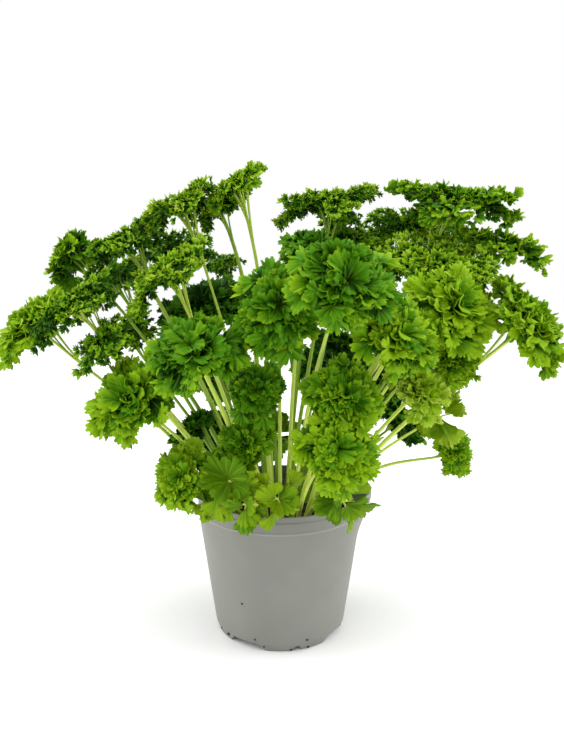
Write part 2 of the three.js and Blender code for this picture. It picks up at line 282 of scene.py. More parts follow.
pot = {
    # in mm and degrees, from the table and the axis of the pot
    "rimRadius": 63.0,  # over the bead, where the pot is widest
    "rimHeight": 107.0,
    "bandBottom": 94.0,
    "bandInset": 0.6,  # in from the bead
    "beadMiddle": 0.8,  # above the bottom of the band
    "beadTop": 1.8,
    "lipBottom": 102.7,
    "lipInset": 1.1,  # in from the bead too
    "lipStep": 0.3,
    "footRadius": 48.0,
    "footWidth": 2.6,  # of the ring that the pot stands on
    "footSlope": 1.5,
    "chamferRadius": 50.0,
    "chamferHeight": 6.0,
    "wall": 1.4,
    "baseLift": 5.9,  # the base between the ring and the pad is this high above the table
    "padRadius": 14.0,
    "padSlope": 2.0,
    "pinhole": 0.02,  # where the turned outline starts, beside the axis
    "rounding": 0.45,
    "cornerSteps": 4,
    "columns": 420,
    "wallRings": 60,
    "bulge": 9.0,  # how far the rim is pushed out at one side
    "bulgeBearing": 10.0,
    "bulgeBottom": 72.0,
    "bulgeSharpness": 7,
    # notches repeat every quarter turn; half is half their length along the foot
    "wideNotch": {"bearing": 238.5, "half": 15.0, "slope": 5.5, "height": 5.5},
    "narrowNotch": {"bearing": 285.0, "half": 4.2, "slope": 3.7, "height": 3.8},
    "notchInwards": 5.0,  # how far in from the foot's edge they reach
    "notchUpwards": 0.6,  # and how far above the chamfer
    "outerSkin": 1.0,
    "plastic": (0.21, 0.212, 0.188, 1),
    "plasticWorn": (0.235, 0.238, 0.213, 1),
    # the colour of the painted highlight along the bead, where its top catches the light
    "beadHighlightColour": (0.42, 0.42, 0.39, 1),
    "wornFrom": (0.35, 0.7),
    "beadHighlightLine": (0.9, 0.6),  # middle and width of the painted highlight along the bead
    "beadHighlightShare": 0.45,
    "cloudScale": 18.0,
    "grainScale": 1400.0,
    "roughness": 0.42,
    "roughnessSpread": 0.2,
    "specular": 0.35,
    "grainBump": 0.12,
    "grainDepth": 0.05,
}
footLean = (pot["chamferRadius"] - pot["footRadius"]) / pot["chamferHeight"]


def wallRadius(high):
    share = (high - pot["chamferHeight"]) / (pot["bandBottom"] - pot["chamferHeight"])
    return mix(pot["chamferRadius"], pot["rimRadius"] - pot["bandInset"], share)


def roundedCorner(before, corner, after):  # the corner as a few points of a curve
    most = 0.45  # of an edge, so that two roundings never meet
    back = min(pot["rounding"], np.linalg.norm(before - corner) * most)
    ahead = min(pot["rounding"], np.linalg.norm(after - corner) * most)
    first = corner + unit(before - corner) * back
    last = corner + unit(after - corner) * ahead
    shares = np.linspace(0, 1, pot["cornerSteps"])[:, None]
    return mix(mix(first, corner, shares), mix(corner, last, shares), shares)


def potProfile():  # radius and height, from under the pad, up the outside and down the inside
    foot = pot["footRadius"]
    band = pot["rimRadius"] - pot["bandInset"]
    lip = pot["rimRadius"] - pot["lipInset"]
    floorTop = pot["baseLift"] + pot["wall"]
    corners = np.array([
        (pot["pinhole"], 0),
        (pot["padRadius"], 0),
        (pot["padRadius"] + pot["padSlope"], pot["baseLift"]),
        (foot - pot["footWidth"] - pot["footSlope"], pot["baseLift"]),
        (foot - pot["footWidth"], 0),
        (foot, 0),
        (pot["chamferRadius"], pot["chamferHeight"]),
        (wallRadius(pot["bandBottom"]), pot["bandBottom"]),
        (pot["rimRadius"], pot["bandBottom"] + pot["beadMiddle"]),
        (band, pot["bandBottom"] + pot["beadTop"]),
        (band, pot["lipBottom"]),
        (lip, pot["lipBottom"] + pot["lipStep"]),
        (lip, pot["rimHeight"]),
        (lip - pot["wall"], pot["rimHeight"]),
        (wallRadius(pot["bandBottom"]) - pot["wall"], pot["bandBottom"]),
        (wallRadius(floorTop) - pot["wall"], floorTop),
        (pot["padRadius"] + pot["padSlope"] - pot["wall"], floorTop),
        (pot["padRadius"] - pot["wall"], pot["wall"]),
        (pot["pinhole"], pot["wall"]),
    ])
    rounded = [corners[0][None]]
    for before, corner, after in zip(corners, corners[1:], corners[2:]):
        start = rounded[-1][-1]
        curve = roundedCorner(before, corner, after)
        gap = np.linalg.norm(curve[0] - start)
        steps = max(1, round(gap * pot["wallRings"] / pot["rimHeight"]))
        rounded.append(mix(start, curve[0], np.linspace(0, 1, steps + 1)[1:-1, None]))
        rounded.append(curve)
    rounded.append(corners[-1][None])
    return np.concatenate(rounded)


def notchLift(bearing, notch):  # how high the foot is cut away at a bearing
    quarter = (bearing - math.radians(notch["bearing"])) / (math.pi / 2)
    arc = np.abs(quarter - np.round(quarter)) * (math.pi / 2) * pot["footRadius"]
    return notch["height"] * np.clip((notch["half"] - arc) / notch["slope"], 0, 1)


def bulgeAt(bearing, high):
    side = np.maximum(0, np.cos(bearing - math.radians(pot["bulgeBearing"])))
    rise = ease(pot["bulgeBottom"], pot["rimHeight"], high)
    return pot["bulge"] * rise * side ** pot["bulgeSharpness"]


def makePot():
    profile = potProfile()
    bearing = np.linspace(0, 2 * math.pi, pot["columns"], endpoint=False)[None]
    radius = profile[:, 0][:, None]
    high = profile[:, 1][:, None]
    lift = np.maximum(notchLift(bearing, pot["wideNotch"]), notchLift(bearing, pot["narrowNotch"]))
    inFoot = radius > pot["footRadius"] - pot["notchInwards"]
    foot = inFoot & (high < pot["chamferHeight"] + pot["notchUpwards"])
    raised = np.where(foot, np.maximum(high, lift), high)
    outside = foot & (radius > pot["footRadius"] - pot["outerSkin"])
    radius = radius + np.where(outside, (raised - high) * footLean, 0)
    radius = radius + np.where(radius > pot["padRadius"], bulgeAt(bearing, raised), 0)
    points = np.stack([radius * np.cos(bearing), radius * np.sin(bearing), raised], axis=2)
    rows, columns = points.shape[:2]
    caps = [np.arange(columns)[::-1], np.arange(columns) + (rows - 1) * columns]
    middle, width = pot["beadHighlightLine"]
    # painted highlight, strongest along the middle of the bead
    beadHighlight = np.exp(-((high - pot["bandBottom"] - middle) / width) ** 2) + 0 * bearing
    return buildMesh("pot_shell", points * mm, gridFaces(rows, columns, True), caps, {"beadHighlight": beadHighlight})


def potFinish():
    finish = Shader(bpy.data.materials.new("greyMouldedPlastic"))
    cloud = finish.noise(pot["cloudScale"], 3.0)
    grain = finish.noise(pot["grainScale"], 2.0)
    worn = finish.band(cloud, *pot["wornFrom"])
    colour = finish.colours(worn, pot["plastic"], pot["plasticWorn"])
    # the plastic turns paler along the bead as a painted highlight
    colour = finish.colours(finish.stored("beadHighlight") * pot["beadHighlightShare"], colour, pot["beadHighlightColour"])
    inputs = {
        "Base Color": colour,
        "Roughness": pot["roughness"] + cloud * pot["roughnessSpread"],
        "Specular IOR Level": pot["specular"],
        "Normal": finish.bump(grain, pot["grainBump"], pot["grainDepth"] * mm),
    }
    return finish.show(finish.node("BsdfPrincipled", None, inputs))


settle(makePot(), "pot_plastic", potFinish(), "pot")
print("pot: shell with notched foot")


soil = {
    # in mm
    "top": 89.0,
    "clearance": 0.7,  # from the wall and the floor of the pot
    "lump": 1.6,
    "lumpPitch": 0.11,
    "lumpSizes": 5,
    "pinhole": 0.2,
    "rings": 90,
    "columns": 240,
    "crumbs": 900,
    "crumbReach": 55,
    "crumbSize": (0.5, 1.7),
    "crumbShape": (1.0, 0.8, 0.7),
    "crumbRough": (0.7, 0.5),  # least and spread
    "crumbLift": 0.3,
    "crumbRings": 6,
    "crumbSides": 7,
    "stuck": [
        # crumbs on the pot's outside: bearing, height, size
        (240, 36.6, 1.0),
        (220, 4.7, 1.5),
        (249, 8.6, 1.0),
        (256.4, 3.5, 1.1),
        (279.6, 1.3, 1.1),
        (293, 8.1, 1.2),
        (295, 1.4, 1.2),
        (207.3, 4.5, 1.0),
    ],
    "dark": (0.012, 0.008, 0.005, 1),
    "brown": (0.05, 0.032, 0.018, 1),
    "brownFrom": (0.38, 0.66),
    "coarseScale": 150.0,
    "fineScale": 1500.0,
    "roughness": 0.75,
    "roughnessSpread": 0.2,
    "specular": 0.3,
    "bump": 0.8,
    "bumpDepth": 0.5,
}


def soilHigh(x, y):  # lumps of several sizes, turned by odd angles so that they never line up
    high = np.zeros_like(x)
    for size in range(soil["lumpSizes"]):
        pitch = soil["lumpPitch"] * 1.9 ** size
        turn = 1.3 * size + 0.4
        along = (x * math.cos(turn) + y * math.sin(turn)) * pitch
        beside = (y * math.cos(turn) - x * math.sin(turn)) * pitch
        bent = along + 2.1 * size + 1.7 * np.sin(beside)
        high += np.sin(bent) * np.cos(beside * 1.3) / 1.7 ** size
    return soil["top"] + soil["lump"] * (0.4 + 0.5 * high)


def makeSoil():
    floorTop = pot["baseLift"] + pot["wall"] + soil["clearance"]
    inset = pot["wall"] + soil["clearance"]
    edge = wallRadius(soil["top"]) - inset
    reach = np.linspace(soil["pinhole"], edge, soil["rings"])[::-1][:, None]
    bearing = np.linspace(0, 2 * math.pi, soil["columns"], endpoint=False)[None]
    x = reach * np.cos(bearing)
    y = reach * np.sin(bearing)
    topRings = np.stack([x, y, soilHigh(x, y)], axis=2)
    low = wallRadius(floorTop) - inset
    foot = np.stack([low * np.cos(bearing), low * np.sin(bearing), floorTop + 0 * bearing], axis=2)
    points = np.concatenate([foot, topRings])
    rows, columns = points.shape[:2]
    caps = [np.arange(columns)[::-1], np.arange(columns) + (rows - 1) * columns]
    return buildMesh("soil_bed", points * mm, gridFaces(rows, columns, True), caps)


def crumb(index, centre, size):  # a small rough lump
    sides = soil["crumbSides"]
    wide, deep, tall = soil["crumbShape"]
    least, spread = soil["crumbRough"]
    tilt = np.linspace(0, math.pi, soil["crumbRings"])[1:-1][:, None]
    turn = np.linspace(0, 2 * math.pi, sides, endpoint=False)[None]
    cell = np.arange(tilt.size)[:, None] * sides + np.arange(sides)[None]
    rough = size * (least + spread * jitter(cell + 31 * index, 5))
    shape = [
        wide * np.sin(tilt) * np.cos(turn),
        deep * np.sin(tilt) * np.sin(turn),
        tall * np.cos(tilt) + 0 * turn,
    ]
    points = centre + np.stack(shape, axis=2) * rough[:, :, None]
    rows, columns = points.shape[:2]
    caps = [np.arange(columns), np.arange(columns)[::-1] + (rows - 1) * columns]
    return points * mm, gridFaces(rows, columns, True)[:, ::-1], caps


def makeCrumbs():  # those that lie on the bed, and the few that stick to the pot
    crumbs = []
    for index in range(soil["crumbs"]):
        size = mix(*soil["crumbSize"], jitter(index, 1) ** 2)
        reach = soil["crumbReach"] * math.sqrt(jitter(index, 2))
        centre = onBearing(360 * jitter(index, 3), reach, 0)
        centre[2] = soilHigh(centre[:1], centre[1:2])[0] + size * soil["crumbLift"]
        crumbs.append(crumb(index, centre, size))
    for index, (bearing, high, size) in enumerate(soil["stuck"]):
        wall = min(wallRadius(high), pot["footRadius"] + footLean * high)
        crumbs.append(crumb(index, onBearing(bearing, wall, high), size))
    return buildMesh("soil_crumbs", *joined(crumbs))


def soilFinish():
    finish = Shader(bpy.data.materials.new("moistPeat"))
    coarse = finish.noise(soil["coarseScale"], 4.0)
    fine = finish.noise(soil["fineScale"], 3.0)
    share = finish.band(coarse * 0.5 + fine * 0.5, *soil["brownFrom"])
    inputs = {
        "Base Color": finish.colours(share, soil["dark"], soil["brown"]),
        "Roughness": soil["roughness"] + fine * soil["roughnessSpread"],
        "Specular IOR Level": soil["specular"],
        "Normal": finish.bump(coarse + fine, soil["bump"], soil["bumpDepth"] * mm),
    }
    return finish.show(finish.node("BsdfPrincipled", None, inputs))


peat = soilFinish()
settle(makeSoil(), "soil", peat, "soil")
settle(makeCrumbs(), "soil", peat)
print("soil: bed and", soil["crumbs"], "crumbs")


leafPlan = [
    # where each head is, as in the frame, and how light its green is:
    # bearing, reach, height, span, nod, towards, breadth, curl, tone
    (270, 92, 254, 30, 75, 270, 1, 0.9, 0.42),
    (288, 124, 269, 32, 70, 288, 1.16, 0.9, 0.41),
    (308, 121, 236, 27, 65, 308, 1.2, 0.9, 0.62),
    (331, 130, 252, 32, 60, 300, 1.25, 0.9, 0.85),
    (293, 103, 198, 27, 60, 293, 1.05, 0.8, 0.58),
    (289, 111, 167, 28, 72, 289, 1, 0.7, 0.75),
    (297, 95, 128, 21, 80, 297, 1.15, 0.3, 0.62),
    (269, 85, 129, 19, 80, 269, 1.05, 0.3, 0.75),
    (254, 84, 124, 18, 80, 253, 1, 0.3, 0.7),
    (246, 82, 138, 24, 66, 246, 1.1, 0.3, 0.68),
    (222, 90, 136, 22, 60, 240, 1, 0.6, 0.76),
    (249, 68, 161, 21, 50, 242, 1, 0.8, 0.45),
    (258, 71, 197, 20, 75, 261, 1, 0.8, 0.3),
    (237, 101, 228, 31, 45, 243, 1.15, 0.9, 0.38),
    (212, 118, 192, 33, 58, 230, 1.1, 0.9, 0.62),
    (322, 115, 199, 22, 50, 300, 1.1, 0.6, 1.18),
    (353, 119, 170, 23, 62, 290, 1, 0.3, 1.11),
    (359.5, 132, 136, 18, 70, 290, 0.85, 0.6, 0.65),
    (9, 129, 325, 51, 4, 0, 0.9, 0.95, 0.49),
    (41, 148, 306, 49, 10, 38, 1, 1, 0.35),
    (0, 159, 292, 36, 12, 0, 0.8, 0.95, 0.6),
    (346, 175, 239, 37, 50, 347, 1.15, 0.9, 0.75),
    (344, 111, 279, 38, 28, 280, 1.35, 1, 0.55),
    (47, 54, 324, 46, 8, 180, 0.8, 1, 0.39),
    (51, 83, 295, 32, 30, 270, 1.2, 1, 0.3),
    (323, 33, 287, 21, 40, 323, 1.1, 0.9, 0.2),
    (163, 33, 334, 30, 34, 182, 0.8, 0.95, 0.7),
    (172, 73, 320, 33, 30, 176, 1, 1, 0.62),
    (170, 118, 295, 37, 30, 176, 1.05, 1, 0.2),
    (208, 86, 274, 35, 34, 200, 1.1, 1, 0.45),
    (166, 168, 281, 27, 64, 165, 0.9, 0.9, 0.61),
    (188, 147, 251, 42, 32, 188, 1.05, 1, 0.17),
    (176, 186, 233, 40, 42, 190, 1.05, 0.8, 0.92),
    (201, 129, 226, 27, 40, 215, 1, 1, 0.3),
    (117, 101, 275, 14, 40, 250, 1, 1, 0.1),
    (147, 73, 244, 35, 30, 240, 1.1, 0.9, 0.11),
    (155, 140, 221, 29, 30, 200, 1.2, 1, 0.15),
    (127, 158, 286, 38, 22, 127, 1, 1, 0.2),
    (80, 152, 268, 38, 24, 80, 1, 1, 0.2),
    (62, 164, 284, 38, 22, 62, 1, 1, 0.25),
    (38, 186, 250, 36, 30, 38, 1, 1, 0.3),
    (142, 186, 262, 34, 30, 142, 1, 1, 0.2),
    (112, 138, 170, 34, 50, 112, 1, 0.8, 0.25),
    (72, 150, 178, 36, 50, 72, 1, 0.8, 0.25),
    (48, 138, 172, 30, 52, 48, 1, 0.8, 0.3),
    (93, 92, 124, 24, 72, 92, 1, 0.3, 0.6),
    (146, 56, 319, 22, 40, 182, 1, 1, 0.45),
    (339, 126, 214, 24, 62, 300, 1, 0.6, 0.75),
    (232, 84, 119, 14, 75, 255, 1, 0.3, 0.7),
    (174, 70, 148, 24, 55, 170, 1.1, 0.7, 0.1),
    (22, 104, 152, 26, 55, 20, 1.1, 0.7, 0.15),
    (125, 92, 132, 24, 60, 125, 1.1, 0.7, 0.1),
    (62, 92, 134, 24, 60, 62, 1.1, 0.7, 0.15),
    (57, 94, 203, 26, 50, 60, 1.1, 0.7, 0.1),
]

blade = {
    # a leaf and its leaflets, in mm
    "fullLeaflets": 7,
    "simpleLeaflets": 5,
    "simpleSpan": 26.5,  # a leaf with less span than this has the fewer leaflets
    "leafletLength": (0.9, 1.12),
    "leafletTurn": 0.3,  # how unevenly they are spaced
    "curlDroop": 0.36,
    "raisedLength": 0.88,  # every second leaflet stands higher and is shorter
    "raisedArch": -0.2,
    "thickness": 0.3,
    # the small fans that a leaflet is cut into
    "fanHub": 0.01,  # a fan starts at this share of its length
    "fanRowPower": 0.75,
    "unevenTeeth": 0.5,
    "flanks": 0.25,  # how much shorter a fan is at its sides
    "sideWave": 0.6,
    "lastReach": 0.85,
    "hubSize": 1.25,  # the fans at the middle of the leaf are larger
    "fanSizes": (0.75, 1.2),
    "bend": (0.1, 0.4),  # middle and spread
    "fold": (0.1, 0.3),
    "hangingLift": -0.6,
    # random spread of fan tones, with painted shade towards the middle of the leaf
    "toneSpread": 0.4,
    # painted shade: fans set lower than this share of the depth turn darker
    "shadeBelow": 0.6,
    "evenAlong": 0.7,  # where a fan has its own tone; painted light makes its margin lighter and its foot darker
    "kinds": {
        # flat, ruffled, crimped and curly; pairs go from the middle of the leaf to its tips
        "young": (True, False, False, False),
        "belowCurl": (0.5, 0.94, 0.98, 9),  # the kind of all leaves with less curl than this
        "fanSize": (18.0, 13.0, 8.0, 6.2),  # the longest fan in mm
        "fanShare": (0.64, 0.4, 0.3, 0.24),  # and as a share of its leaflet
        "gap": (0.26, 0.29, 0.44, 0.56),  # between rows of fans, in fan lengths
        "beside": (0.9, 0.64, 0.62, 0.56),  # and between neighbours in a row
        "start": (0.08, 0.0, 0.0, 0.0),  # the first row, as a share of the rib
        "width": ((0.35, 0.95), (0.25, 0.95), (0.1, 0.95), (0.1, 0.95)),
        "depth": (3.0, 4.0, 5.0, 5.0),  # how far the feet of the fans are spread in height
        "turn": (0.7, 0.75, 0.8, 0.9),  # how far the outer fans turn away from the rib
        "lift": ((0.5, 0.0), (1.4, 0.1), (0.9, 0.1), (1.2, 0.6)),  # how steeply fans stand up
        "hanging": (0, 0.15, 0.3, 0.3),  # the share of the fans that hang below the leaf
        "sway": (0.8, 0.75, 0.8, 1.1),
        "roll": (0.9, 0.75, 0.9, 1.4),
        "edge": (0.35, 0.5, 1.0, 1.6),  # painted light: how much lighter a fan is at its margin than at its foot
        "shade": (0.3, 0.35, 0.6, 0.9),  # painted shade: how much darker the lower fans are
        "spread": (62, 80, 66, 56),  # half the angle of a fan
        "narrow": (0.15, 0.1, 0.1, 0.0),  # how much narrower its foot is
        "teeth": (5, 5, 5, 6),
        "tooth": (0.28, 0.28, 0.34, 0.62),
        "point": (0.5, 0.7, 0.9, 1.2),
        "fine": (0.12, 0.14, 0.0, 0.0),  # small teeth on the teeth
        "waves": (1.5, 3.5, 4.0, 2.5),
        "wave": (0.14, 0.16, 0.15, 0.2),
        "pleat": (0.04, 0.05, 0.1, 0.0),
        "rows": (8, 5, 4, 3),
        "columns": (49, 46, 26, 19),
        "under": (0, 2, 2, 3),  # how many broad fans, darkened with painted shade, lie below the curls of each leaflet
    },
    "under": {
        "reach": 0.4,  # along the rib
        "size": 0.55,
        "depth": 1.0,
        # painted shade: their tone is halved, then lowered
        "tone": 0.5,
        "darker": 0.3,
        "ruffle": 0.3,
    },
    # colours, and the tones between which one turns to the next
    "curled": {
        "deep": (0.004, 0.045, 0.0005, 1),
        "middle": (0.07, 0.24, 0.001, 1),
        "light": (0.26, 0.46, 0.004, 1),
        # painted highlight on the lightest margins
        "tip": (0.5, 0.66, 0.07, 1),
        "vein": (0.3, 0.5, 0.02, 1),
        "through": (0.16, 0.42, 0.002, 1),
        # how dark the painted shade in the folds is
        "creases": 0.2,
        "veins": 0.3,
    },
    "young": {
        "deep": (0.02, 0.09, 0.0005, 1),
        "middle": (0.09, 0.22, 0.0005, 1),
        "light": (0.22, 0.37, 0.002, 1),
        # painted highlight on the lightest margins
        "tip": (0.42, 0.58, 0.05, 1),
        "vein": (0.4, 0.56, 0.04, 1),
        "through": (0.25, 0.45, 0.002, 1),
        # how dark the painted shade in the folds is
        "creases": 0.12,
        "veins": 0.25,
    },
    "middleFrom": (0.0, 0.5),
    "lightFrom": (0.5, 1.0),
    # the tones over which the painted highlight sets in
    "paintedHighlightFrom": (1.1, 1.9),
    "creaseFrom": (0.3, 0.5),  # painted shade in the folds, from the middle of a lobe to the fold beside it
    "veinWidth": 0.09,
    "veinEnd": 1.02,
    "veinFade": 0.3,
    "mottleScale": 260.0,
    "mottle": 0.3,
    "roughness": 0.5,
    "roughnessSpread": 0.15,
    "specular": 0.1,
    "veinBump": -0.6,
    "mottleBump": 0.5,
    "bump": 0.35,
    "bumpDepth": 0.4,
    "throughShare": 0.14,  # of the light that shines through
}
kinds = [dict(zip(blade["kinds"], column)) for column in zip(*blade["kinds"].values())]


def readLeaf(index, row):
    keys = ("bearing", "reach", "high", "span", "nod", "towards", "breadth", "curl", "tone")
    leaf = dict(zip(keys, row))
    nod = math.radians(leaf["nod"])
    leaf["seed"] = index + 1
    leaf["name"] = f"leaf_{index + 1:02d}"
    leaf["kind"] = next(kind for kind in kinds if leaf["curl"] < kind["belowCurl"])
    simple = leaf["kind"]["young"] or leaf["span"] < blade["simpleSpan"]
    leaf["leaflets"] = blade["simpleLeaflets" if simple else "fullLeaflets"]
    leaf["head"] = onBearing(leaf["bearing"], leaf["reach"], leaf["high"])
    leaf["facing"] = onBearing(leaf["towards"], math.sin(nod), math.cos(nod))
    leaf["side"] = onBearing(leaf["towards"] + 90, 1, 0)
    leaf["forward"] = np.cross(leaf["side"], leaf["facing"])
    return leaf


def leafRibs(leaf):  # the rib of each leaflet, as in the frame's frill
    count = leaf["leaflets"]
    droop = blade["curlDroop"] * leaf["curl"]
    sway = blade["leafletTurn"]
    ribs = []
    for leaflet in range(count):
        raised = min(leaflet, count - leaflet) % 2 == 1
        full = leaf["span"] * mix(*blade["leafletLength"], jitter(leaf["seed"], leaflet))
        full = full * (blade["raisedLength"] if raised else 1)
        arch = droop * (blade["raisedArch"] if raised else 1)
        turn = leaflet + sway * jitter(leaf["seed"], leaflet + 20) - sway / 2
        angle = 2 * math.pi * turn / count
        reach = leaf["forward"] * math.cos(angle) + leaf["side"] * leaf["breadth"] * math.sin(angle)
        drop = -arch * full ** 2 / leaf["span"] * leaf["facing"]
        ribs.append({"reach": full * reach, "drop": drop, "length": full * np.linalg.norm(reach)})
    return ribs


def ribPoint(leaf, rib, along):
    return leaf["head"] + rib["reach"] * along + rib["drop"] * along ** 2


def ribAxes(leaf, rib, along):  # the way along the rib, the way its upper side looks, and its side
    tangent = unit(rib["reach"] + 2 * rib["drop"] * along)
    side = unit(np.cross(leaf["facing"], rib["reach"]))
    return tangent, np.cross(tangent, side), side


def fanSheet(fan, kind):  # a grid of points, from the foot of the fan to its toothed margin
    along = np.linspace(blade["fanHub"], 1, kind["rows"])[:, None] ** blade["fanRowPower"]
    across = np.linspace(-1, 1, kind["columns"])[None]
    angle = math.radians(kind["spread"]) * across * along ** kind["narrow"]
    spoke = across * kind["teeth"] / 2  # whole numbers at the middles of the lobes
    phase = 2 * math.pi * fan["random"]
    crest = np.abs(np.cos(math.pi * spoke)) ** kind["point"]
    small = np.abs(np.cos(3 * math.pi * spoke)) ** kind["point"]
    lobes = 1 - kind["tooth"] * (1 - crest) * (1 + blade["unevenTeeth"] * np.sin(2 * spoke + phase))
    outline = (1 - blade["flanks"] * across ** 4) * lobes * (1 - kind["fine"] * (1 - small))
    reach = fan["size"] * along * mix(1, outline, along ** 1.5)
    turns = math.pi * across * (kind["waves"] + fan["random"] - 0.5)
    wave = kind["wave"] * fan["ruffle"] * fan["size"] * along ** 1.6
    pleats = kind["pleat"] * fan["size"] * along ** 1.3 * crest
    bent = fan["fold"] * along * np.abs(across) ** 1.5 - fan["bend"] * along ** 2
    high = wave * np.sin(turns + phase) + pleats + fan["size"] * bent
    outwards = reach * np.cos(angle)
    sidewave = blade["sideWave"] * wave * along * np.cos(turns + phase)
    sideways = reach * np.sin(angle) + sidewave
    place = outwards[..., None] * fan["out"] + sideways[..., None] * fan["side"]
    place = fan["base"] + place + high[..., None] * fan["normal"]
    return place, along + 0 * across, spoke + 0 * along


def lastRow(size, length):  # where it stands along the rib, so that its fans reach the tip
    return 1 - blade["lastReach"] * size / length


def fanPlaces(leaf, leaflet, length, size):  # rows of fans, from the middle of the leaf to its tips
    kind = leaf["kind"]
    sector = math.pi / leaf["leaflets"]
    last = lastRow(size, length)
    rows = max(2, round((last - kind["start"]) * length / (kind["gap"] * size)))
    places = []
    for row, along in enumerate(np.linspace(kind["start"], last, rows)):
        width = sector * length * mix(*kind["width"], along)
        count = max(1, round(2 * width / (kind["beside"] * size)))
        for place in range(count):
            slip = jitter(leaf["seed"] * 31 + leaflet, row * 17 + place) - 0.5
            aside = (2 * place + 1 + slip) / count - 1
            places.append((along, aside, aside * width if count > 1 else slip * width))
    return places


def leafletFans(leaf, leaflet, rib):  # the small fans that a leaflet is cut into
    kind = leaf["kind"]
    length = rib["length"]
    size = min(kind["fanSize"], kind["fanShare"] * length)
    draws = ("yaw", "pitch", "roll", "fold", "size", "tone", "wave", "bend", "slip", "depth")
    fans = []
    for place, (row, aside, offset) in enumerate(fanPlaces(leaf, leaflet, length, size)):
        seed = leaf["seed"] * 997 + leaflet * 61 + place  # a different one for each fan
        chance = {draw: jitter(seed, counter) for counter, draw in enumerate(draws)}
        along = max(0, row + (chance["slip"] - 0.5) * kind["gap"] * size / length)
        tangent, normal, side = ribAxes(leaf, rib, along)
        yaw = around(-kind["turn"] * aside, kind["sway"], chance["yaw"])
        lift = mix(*kind["lift"], min(1, along / lastRow(size, length)))
        lift = lift * (blade["hangingLift"] if chance["depth"] < kind["hanging"] else 1)
        rise = normal * around(lift, kind["sway"], chance["pitch"])
        out = unit(turned(tangent, normal, yaw) + rise)
        roll = kind["roll"] * 2 * (chance["roll"] - 0.5)
        across = turned(unit(np.cross(normal, out)), out, roll)
        base = ribPoint(leaf, rib, along) - side * offset
        grown = mix(*blade["fanSizes"], chance["size"])
        # random tone, with painted shade that darkens the fans nearer the middle of the leaf
        tone = leaf["tone"] + blade["toneSpread"] * (chance["tone"] + along - 1)
        fans.append({
            "base": base + normal * kind["depth"] * (chance["depth"] - 0.5),
            "out": out,
            "side": across,
            "normal": np.cross(out, across),
            "size": size * grown * mix(blade["hubSize"], 1, min(1, 2 * along)),
            # painted shade on the fans that are set lower
            "tone": tone + kind["shade"] * (chance["depth"] - blade["shadeBelow"]),
            "random": chance["wave"],
            "bend": around(*blade["bend"], chance["bend"]),
            "fold": around(*blade["fold"], chance["fold"]),
            "ruffle": 1,
        })
    return fans


def underFans(leaf, rib):  # the broad part of the blade below its curls, darkened with painted shade
    under = blade["under"]
    fans = []
    for along in np.linspace(0, under["reach"], leaf["kind"]["under"]):
        tangent, normal, side = ribAxes(leaf, rib, along)
        fans.append({
            "base": ribPoint(leaf, rib, along) - normal * under["depth"],
            "out": tangent,
            "side": side,
            "normal": np.cross(tangent, side),
            "size": rib["length"] * under["size"],
            # painted shade on the part below the curls
            "tone": leaf["tone"] * under["tone"] - under["darker"],
            "random": 0.5,
            "bend": 0.0,
            "fold": 0.0,
            "ruffle": under["ruffle"],
        })
    return fans


def makeBlades(leaf):
    fans = []
    for leaflet, rib in enumerate(leafRibs(leaf)):
        fans += leafletFans(leaf, leaflet, rib) + underFans(leaf, rib)
    sheets = [fanSheet(fan, leaf["kind"]) for fan in fans]
    points, along, spoke = (np.stack(values) for values in zip(*sheets))
    rows, columns = points.shape[1:3]
    starts = np.arange(len(fans)) * rows * columns
    quads = (gridFaces(rows, columns)[None] + starts[:, None, None]).reshape(-1, 4)
    tone = np.array([fan["tone"] for fan in fans])[:, None, None]
    stored = {
        "along": along,
        "spoke": spoke,
        # painted light: lighter towards the margin, darker with painted shade at the foot
        "tone": tone + leaf["kind"]["edge"] * (along - blade["evenAlong"]),
    }
    made = buildMesh(leaf["name"] + "_blades", points * mm, quads, (), stored)
    skin = made.modifiers.new("thickness", "SOLIDIFY")
    skin.thickness = blade["thickness"] * mm
    skin.offset = 0
    return made


def bladeFinish(name, look):
    finish = Shader(bpy.data.materials.new(name))
    along = finish.stored("along")
    mottle = finish.noise(blade["mottleScale"], 3.0)
    aside = finish.node("Math", {"operation": "PINGPONG"}, {0: finish.stored("spoke"), 1: 0.5})
    # painted shade in the folds between the lobes, deeper towards the margin
    foldShadeMask = finish.band(aside, *blade["creaseFrom"]) * along
    share = finish.stored("tone") + mottle * blade["mottle"] - foldShadeMask * look["creases"]
    colour = finish.colours(finish.band(share, *blade["middleFrom"]), look["deep"], look["middle"])
    colour = finish.colours(finish.band(share, *blade["lightFrom"]), colour, look["light"])
    # painted highlight: the lightest tones, at the margins, turn pale yellow-green
    colour = finish.colours(finish.band(share, *blade["paintedHighlightFrom"]), colour, look["tip"])
    vein = 1 - finish.band(aside * along, 0.0, blade["veinWidth"])
    vein = vein * finish.band(blade["veinEnd"] - along, 0.0, blade["veinFade"])
    colour = finish.colours(vein * look["veins"], colour, look["vein"])
    relief = vein * blade["veinBump"] + mottle * blade["mottleBump"]
    inputs = {
        "Base Color": colour,
        "Roughness": blade["roughness"] + mottle * blade["roughnessSpread"],
        "Specular IOR Level": blade["specular"],
        "Normal": finish.bump(relief, blade["bump"], blade["bumpDepth"] * mm),
    }
    surface = finish.node("BsdfPrincipled", None, inputs)
    glow = finish.node("BsdfTranslucent", None, {"Color": look["through"]})
    through = {0: blade["throughShare"], 1: surface, 2: glow}
    return finish.show(finish.node("MixShader", None, through))


